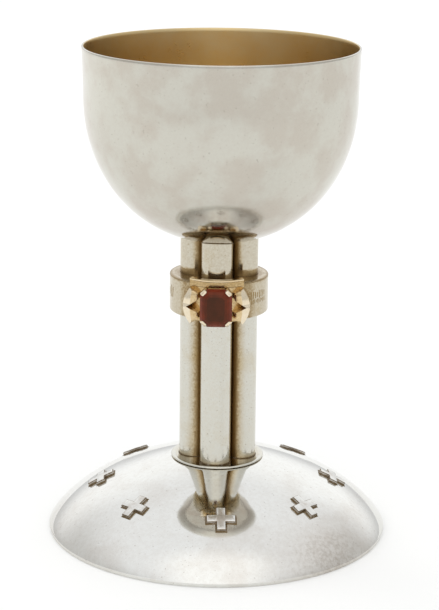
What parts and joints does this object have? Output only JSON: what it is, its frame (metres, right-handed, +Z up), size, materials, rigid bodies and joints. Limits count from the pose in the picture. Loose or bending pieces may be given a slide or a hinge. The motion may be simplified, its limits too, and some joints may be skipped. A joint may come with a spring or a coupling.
{
  "type": "chalice",
  "caption": "Footed ceremonial cup: round bowl on a clustered column stem, with a gem-set collar and a domed foot laid with small crosses.",
  "frame": {"origin": "centre of the foot's underside, on the surface that the chalice stands on", "axes": "+Z up through the bowl, -Y towards the front, where the stone is"},
  "size_m": [0.1326, 0.1326, 0.19],
  "materials": {
    "silver": "polished silver, softly worn, with light tarnish; the bowl is gilt inside",
    "gold": "polished pinkish gold",
    "garnet": "polished dark red stone"
  },
  "bodies": {
    "root": {"foot": "silver", "stem_dish": "silver", "column_front": "silver", "column_right": "silver", "column_back": "silver", "column_left": "silver", "knop_ring": "silver", "bowl": "silver", "cross_1": "silver", "cross_2": "silver", "cross_3": "silver", "cross_4": "silver", "cross_5": "silver", "cross_6": "silver", "cross_7": "silver", "cross_8": "silver", "jewel_setting": "gold", "garnet": "garnet"}
  },
  "joints": []
}
